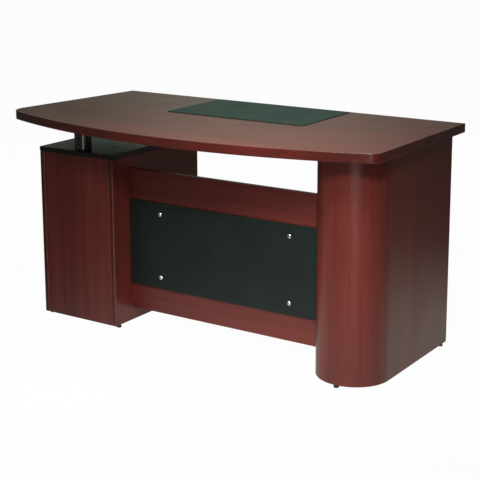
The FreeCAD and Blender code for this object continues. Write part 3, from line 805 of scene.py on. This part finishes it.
def make_glides():
    """Round glides with a rolled foot under the pedestal and the leg."""
    foot = [(GLIDE_RADIUS - inset, height) for inset, height in GLIDE_FOOT]
    neck_radius = foot[-1][0]
    for name in ("pedestal_glides", "leg_glides"):
        bm = new_mesh()
        for points in solid_parts(name):
            low, high = box_round(points)
            turned(bm, foot_of(low, high), UP, [*foot, (neck_radius, high.z - low.z)], GLIDE_SIDES)
        piece(f"{name}_turned", bm, "desk", black_plastic, [name])


def make_caps():
    """Round plastic caps over the screws through the pedestal's sides."""
    name = "pedestal_screw_caps"
    middle = sum(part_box(name), Vector()) / 2
    bm = new_mesh()
    for points in solid_parts(name):
        low, high = box_round(points)
        outward = RIGHT * math.copysign(1.0, low.x - middle.x)
        height = high.x - low.x
        seat = (low + high - outward * height) / 2
        profile = [(across * CAP_RADIUS, up * height) for across, up in CAP_CURVE]
        turned(bm, seat, outward, profile, HEAD_SIDES)
    piece("pedestal_caps_turned", bm, "desk", brown_plastic, [name])


def make_wood_screws():
    """Domed wood screws with a cross recess, through the brackets and up through the leg's top board."""
    crown = dome_profile(WOOD_SCREW_RADIUS, WOOD_SCREW_HEIGHT)
    rim_radius = RECESS_RIM_SHARE * WOOD_SCREW_RADIUS
    floor_radius = RECESS_FLOOR_SHARE * WOOD_SCREW_RADIUS
    bm = new_mesh()
    for points in solid_parts("assembly_screws"):
        low, high = box_round(points)
        length = max(high - low)
        axis = Vector([float(side == length) for side in high - low])
        middle = (low + high) / 2
        reach = {1: 0.0, -1: 0.0}
        for point in points:
            along = (point - middle).dot(axis)
            end = 1 if along > 0 else -1
            if abs(along) > length / 2 - END_TOLERANCE:
                reach[end] = max(reach[end], (point - middle - axis * along).length)
        headwards = axis if reach[1] > reach[-1] else -axis
        shank = min(reach.values())
        seat = length - WOOD_SCREW_HEIGHT
        profile = [(WOOD_SCREW_TIP_SHARE * shank, 0), (shank, WOOD_SCREW_TIP_LENGTH), (shank, seat)]
        profile += [(radius, seat + height) for radius, height in crown]
        profile += [(rim_radius, length - RECESS_RIM_DROP, cross), (floor_radius, seat, cross)]
        turned(bm, middle - headwards * (length / 2), headwards, profile, WOOD_SCREW_SIDES)
    piece("wood_screws_turned", bm, "desk", zinc, ["assembly_screws"])


def make_lock():
    """Turned lock housing with an eased flange. The barrel and the cam keep their CAD shape."""
    low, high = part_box("lock_housing")
    tail = Vector(((low.x + high.x) / 2, low.y, (low.z + high.z) / 2))
    flange = (high.x - low.x) / 2
    length = high.y - low.y
    seat = length - LOCK_FLANGE_THICKNESS
    profile = [(LOCK_BORE_RADIUS, 0), (LOCK_BODY_RADIUS, 0), (LOCK_BODY_RADIUS, seat), (flange, seat),
               (flange, length - LOCK_EASE), (flange - LOCK_BEVEL, length - LOCK_BEVEL),
               (flange - LOCK_EASE, length), (LOCK_BORE_RADIUS + LOCK_BEVEL, length),
               (LOCK_BORE_RADIUS, length - LOCK_BEVEL)]
    bm = new_mesh()
    rings = [circle(tail + USERWARDS * y, USERWARDS, radius, LOCK_SIDES) for radius, y in profile]
    made = wall(bm, rings)
    bridge(bm, made[-1], made[0])
    piece("lock_housing_turned", bm, "drawer_1", chrome, ["lock_housing"])
    dress(chrome, "lock_barrel")
    dress(zinc, "lock_cam")


def make_hardware():
    """Finishes for the pieces that keep their CAD shape."""
    dress(zinc, "modesty_brackets", "slide_outer_members", "door_strike")
    dress(zinc, "hinge_fixed_leaves", "hinge_door_leaves", "hinge_pins")
    dress(black_plastic, "door_catch")
    for drawer in DRAWERS:
        dress(drawer_board, *[f"{drawer}_{part}" for part in ("left_side", "right_side", "back")])
        dress(hardboard, f"{drawer}_bottom")
        dress(zinc, f"{drawer}_slide_middle", f"{drawer}_slide_inner")


def add_lamp(name, place, aim, size, power, spread, mirrored):
    """Soft area lamp that looks from its place towards a point, within a beam, and may show in gloss."""
    data = bpy.data.lights.new(name, "AREA")
    data.shape = "RECTANGLE"
    data.size, data.size_y = size
    data.energy = power
    data.spread = math.radians(spread)
    lamp = bpy.data.objects.new(name, data)
    lamp.location = place
    lamp.rotation_mode = "QUATERNION"
    lamp.rotation_quaternion = (Vector(aim) - Vector(place)).to_track_quat("-Z", "Y")
    lamp.visible_camera = False
    lamp.visible_glossy = mirrored
    bpy.context.scene.collection.objects.link(lamp)


def make_floor():
    """White floor that takes a faint shadow. Gloss shows it glowing with a painted pool of light that fades
    away from the desk.
    """
    half = FLOOR_HALF
    outline = [(-half, -half, 0), (half, -half, 0), (half, half, 0), (-half, half, 0)]
    mesh = bpy.data.meshes.new("floor")
    mesh.from_pydata(outline, [], [(0, 1, 2, 3)])
    floor = bpy.data.objects.new("floor", mesh)
    bpy.context.scene.collection.objects.link(floor)
    material = bpy.data.materials.new("white_floor")
    material.use_nodes = True
    mesh.materials.append(material)
    surface = Nodes(material.node_tree)
    surface.tree.nodes.clear()
    ray = surface.node("ShaderNodeLightPath").outputs
    place = surface.node("ShaderNodeNewGeometry").outputs["Position"]
    # Painted pool of light: in gloss the floor glows brightest near the desk and fades with distance
    apart = surface.compare("DISTANCE", place, FLOOR_PAINTED_POOL_CENTRE)
    pool = surface.span(apart, FLOOR_PAINTED_POOL_INNER, FLOOR_PAINTED_POOL_OUTER, FLOOR_PAINTED_POOL, FLOOR_FAR)
    seen = surface.math("MAXIMUM", ray["Is Camera Ray"], ray["Is Transmission Ray"])
    share = surface.math("MAXIMUM", surface.math("MULTIPLY", seen, FLOOR_GLOW), ray["Is Glossy Ray"])
    paint = surface.node("ShaderNodeBsdfDiffuse")
    paint.inputs["Color"].default_value = (*FLOOR_PAINT, 1.0)
    glow = surface.node("ShaderNodeEmission")
    surface.feed(glow.inputs["Strength"], surface.blend(ray["Is Glossy Ray"], 1.0, pool))
    surface.feed(glow.inputs["Color"], surface.mix(ray["Is Glossy Ray"], WHITE, FLOOR_TINT))
    both = surface.node("ShaderNodeMixShader")
    surface.feed(both.inputs["Fac"], share)
    surface.feed(both.inputs[1], paint.outputs["BSDF"])
    surface.feed(both.inputs[2], glow.outputs["Emission"])
    output = surface.node("ShaderNodeOutputMaterial")
    surface.feed(output.inputs["Surface"], both.outputs["Shader"])


def make_world():
    """White background, seen directly and through glass, a dimmer room for mirror images and a low fill."""
    world = bpy.data.worlds.new("studio")
    bpy.context.scene.world = world
    world.use_nodes = True
    room = Nodes(world.node_tree)
    light = room.tree.nodes["Background"]
    ray = room.node("ShaderNodeLightPath").outputs
    toward = room.node("ShaderNodeTexCoord").outputs["Generated"]
    facing = room.compare("DOT_PRODUCT", toward, BACKDROP_DIRECTION)
    backdrop = room.span(facing, *BACKDROP_FADE, 0.0, ROOM_BACKDROP)
    rising = room.compare("DOT_PRODUCT", toward, UP)
    ceiling = room.span(rising, *CEILING_FADE, ROOM_HORIZON, ROOM_CEILING)
    mirrored = room.blend(ray["Is Glossy Ray"], WORLD_FILL, room.math("ADD", backdrop, ceiling))
    seen = room.math("MAXIMUM", ray["Is Camera Ray"], ray["Is Transmission Ray"])
    room.feed(light.inputs["Strength"], room.blend(seen, mirrored, 1.0))
    room.feed(light.inputs["Color"], room.mix(ray["Is Glossy Ray"], WHITE, ROOM_TINT))


def make_studio():
    """Floor, room and lamps."""
    make_floor()
    make_world()
    for name, settings in LAMPS.items():
        add_lamp(name, *settings)


def make_camera():
    """Camera at the photograph's place, with the photograph's horizon."""
    azimuth = math.radians(CAMERA_AZIMUTH)
    elevation = math.radians(CAMERA_ELEVATION)
    roll = math.radians(CAMERA_ROLL)
    back = Vector((math.sin(azimuth) * math.cos(elevation), -math.cos(azimuth) * math.cos(elevation),
                   math.sin(elevation)))
    level = Vector((math.cos(azimuth), math.sin(azimuth), 0))
    rise = back.cross(level)
    right = level * math.cos(roll) + rise * math.sin(roll)
    top = rise * math.cos(roll) - level * math.sin(roll)
    data = bpy.data.cameras.new("camera")
    data.lens = CAMERA_LENS
    data.sensor_width = CAMERA_SENSOR
    data.shift_y = CAMERA_SHIFT_Y
    camera = bpy.data.objects.new("camera", data)
    turn = Matrix((right, top, back)).transposed().to_4x4()
    camera.matrix_world = Matrix.Translation(CAMERA_PLACE) @ turn
    bpy.context.scene.collection.objects.link(camera)
    bpy.context.scene.camera = camera


make_desktop()
make_writing_pad()
make_boards()
make_painted_shadow_strips()
make_overlay()
make_nose()
make_pillars()
make_handles()
make_glides()
make_caps()
make_wood_screws()
make_lock()
make_hardware()
make_studio()
make_camera()
bpy.context.scene.view_settings.view_transform = "Standard"
